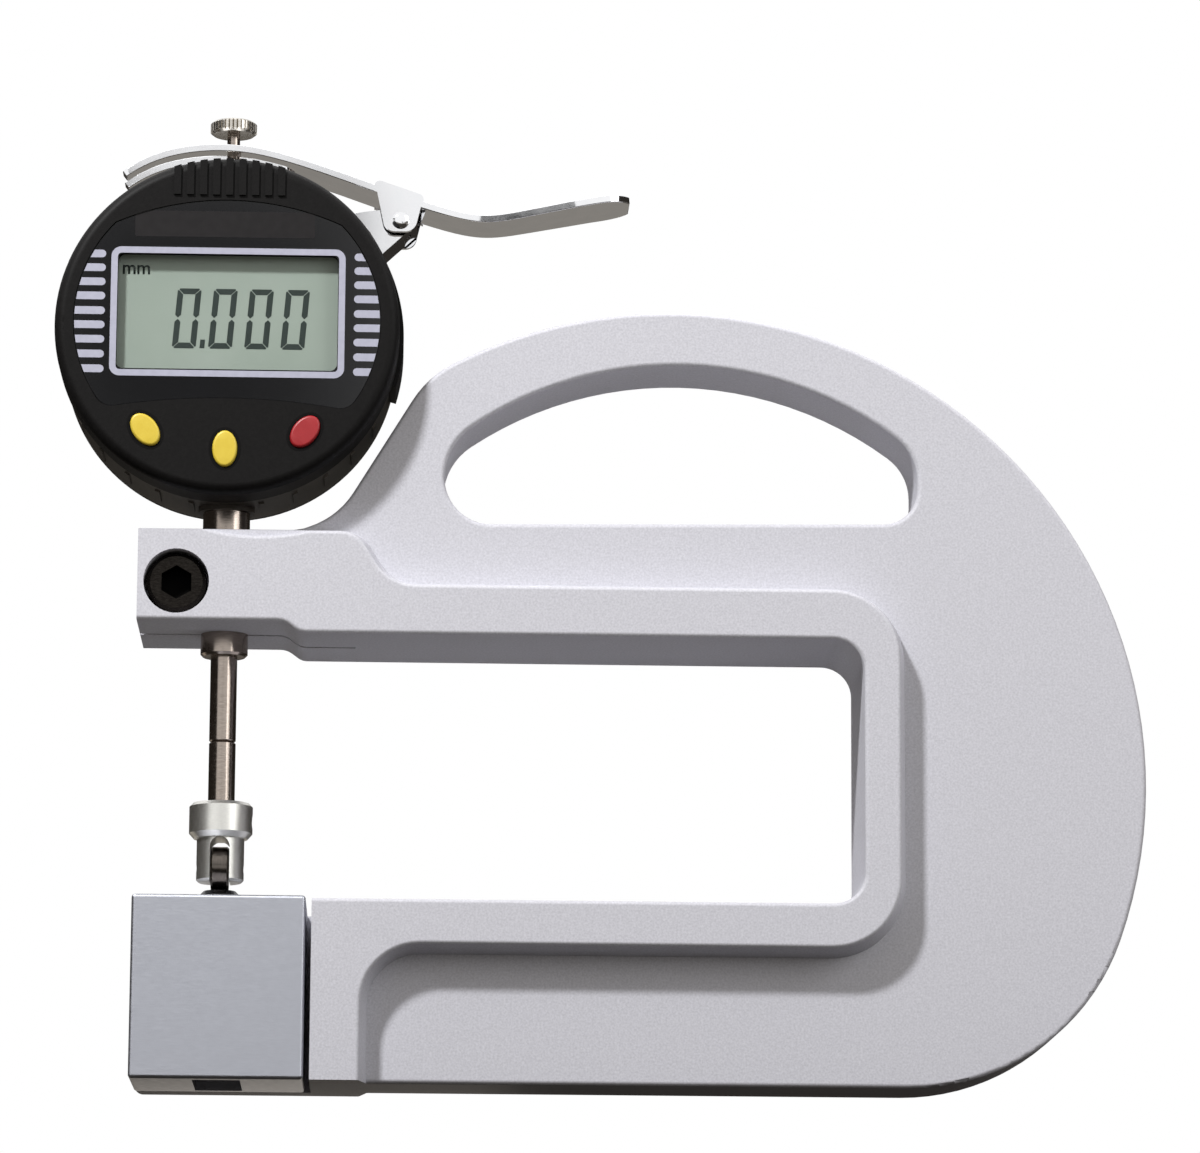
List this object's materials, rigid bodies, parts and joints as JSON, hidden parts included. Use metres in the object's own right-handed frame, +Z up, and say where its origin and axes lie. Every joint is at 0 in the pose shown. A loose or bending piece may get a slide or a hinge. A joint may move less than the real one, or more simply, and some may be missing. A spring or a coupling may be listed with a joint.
{
  "type": "thickness gauge",
  "caption": "Deep-throat thickness gauge: cast C frame with a grip, round digital indicator, lifting lever, roller contact and anvil.",
  "frame": {"origin": "middle of the frame's flat foot, on the surface it stands on", "axes": "+Z up, -Y towards the display's front, +X from the measuring spindle towards the grip side"},
  "size_m": [0.1849, 0.0318, 0.1667],
  "materials": {
    "frame_paint": "satin silver paint with a fine metallic grain",
    "black_oxide": "black oxide",
    "ground_steel": "satin ground",
    "hard_metal": "dark, lapped top",
    "polished_steel": "polished",
    "plated_steel": "nickel plated",
    "bare_aluminium": "turned",
    "black_plastic": "fine matte",
    "faceplate_gloss": "glossy black with printed pale bars",
    "clear_plastic": "clear",
    "lcd_grey": "grey green panel",
    "board_green": "solder mask",
    "yellow_plastic": "silky",
    "red_plastic": "silky",
    "spring_steel": "bright wire",
    "bright_chrome": "bright"
  },
  "bodies": {
    "frame_body": {"frame": "frame_paint", "clamp_screw": "black_oxide", "anvil_block": "ground_steel", "block_screws": "black_oxide", "anvil": "hard_metal", "stem": "polished_steel", "front_bezel": "black_plastic", "rear_housing": "black_plastic", "back_cover": "black_plastic", "cover_screws": "plated_steel", "faceplate": "faceplate_gloss", "display_window": "clear_plastic", "lcd_panel": "lcd_grey", "circuit_board": "board_green", "battery": "plated_steel", "battery_holder": "black_plastic", "battery_cover": "black_plastic", "top_bush": "plated_steel", "return_spring": "spring_steel", "lever_bracket": "bright_chrome", "bracket_screws": "plated_steel", "hinge_pin": "bright_chrome"},
    "spindle_body": {"spindle": "polished_steel", "lifting_knob": "plated_steel", "contact_rod": "polished_steel", "fork_holder": "bare_aluminium", "grub_screw": "black_oxide", "roller_pin": "polished_steel", "scale_carrier": "bare_aluminium", "measuring_scale": "clear_plastic"},
    "roller_body": {"contact_roller": "polished_steel"},
    "lever_body": {"lever": "bright_chrome", "lever_saddle": "bright_chrome"},
    "left_button_body": {"left_button": "yellow_plastic"},
    "middle_button_body": {"middle_button": "yellow_plastic"},
    "right_button_body": {"right_button": "red_plastic"}
  },
  "joints": [
    {"name": "spindle_slide", "type": "slide", "parent": "frame_body", "child": "spindle_body", "axis": [0, 0, 1], "range_m": [0, 0.01], "stiffness_N_per_m": 60, "springref_m": -0.012, "deforming": ["return_spring"]},
    {"name": "lever_tilt", "type": "hinge", "parent": "frame_body", "child": "lever_body", "pos_m": [-0.023, 0, 0.1482], "axis": [0, 1, 0], "range_deg": [0, 22.1]},
    {"name": "roller_spin", "type": "hinge", "parent": "spindle_body", "child": "roller_body", "pos_m": [-0.052, 0, 0.0367], "axis": [1, 0, 0], "continuous": true},
    {"name": "left_button_press", "type": "slide", "parent": "frame_body", "child": "left_button_body", "axis": [0, 1, 0], "range_m": [0, 0.0005], "stiffness_N_per_m": 400, "springref_m": -0.0005},
    {"name": "middle_button_press", "type": "slide", "parent": "frame_body", "child": "middle_button_body", "axis": [0, 1, 0], "range_m": [0, 0.0005], "stiffness_N_per_m": 400, "springref_m": -0.0005},
    {"name": "right_button_press", "type": "slide", "parent": "frame_body", "child": "right_button_body", "axis": [0, 1, 0], "range_m": [0, 0.0005], "stiffness_N_per_m": 400, "springref_m": -0.0005}
  ],
  "couplings": [
    {"joint": "lever_tilt", "follows": "spindle_slide", "rad_per_m": 38.4}
  ]
}
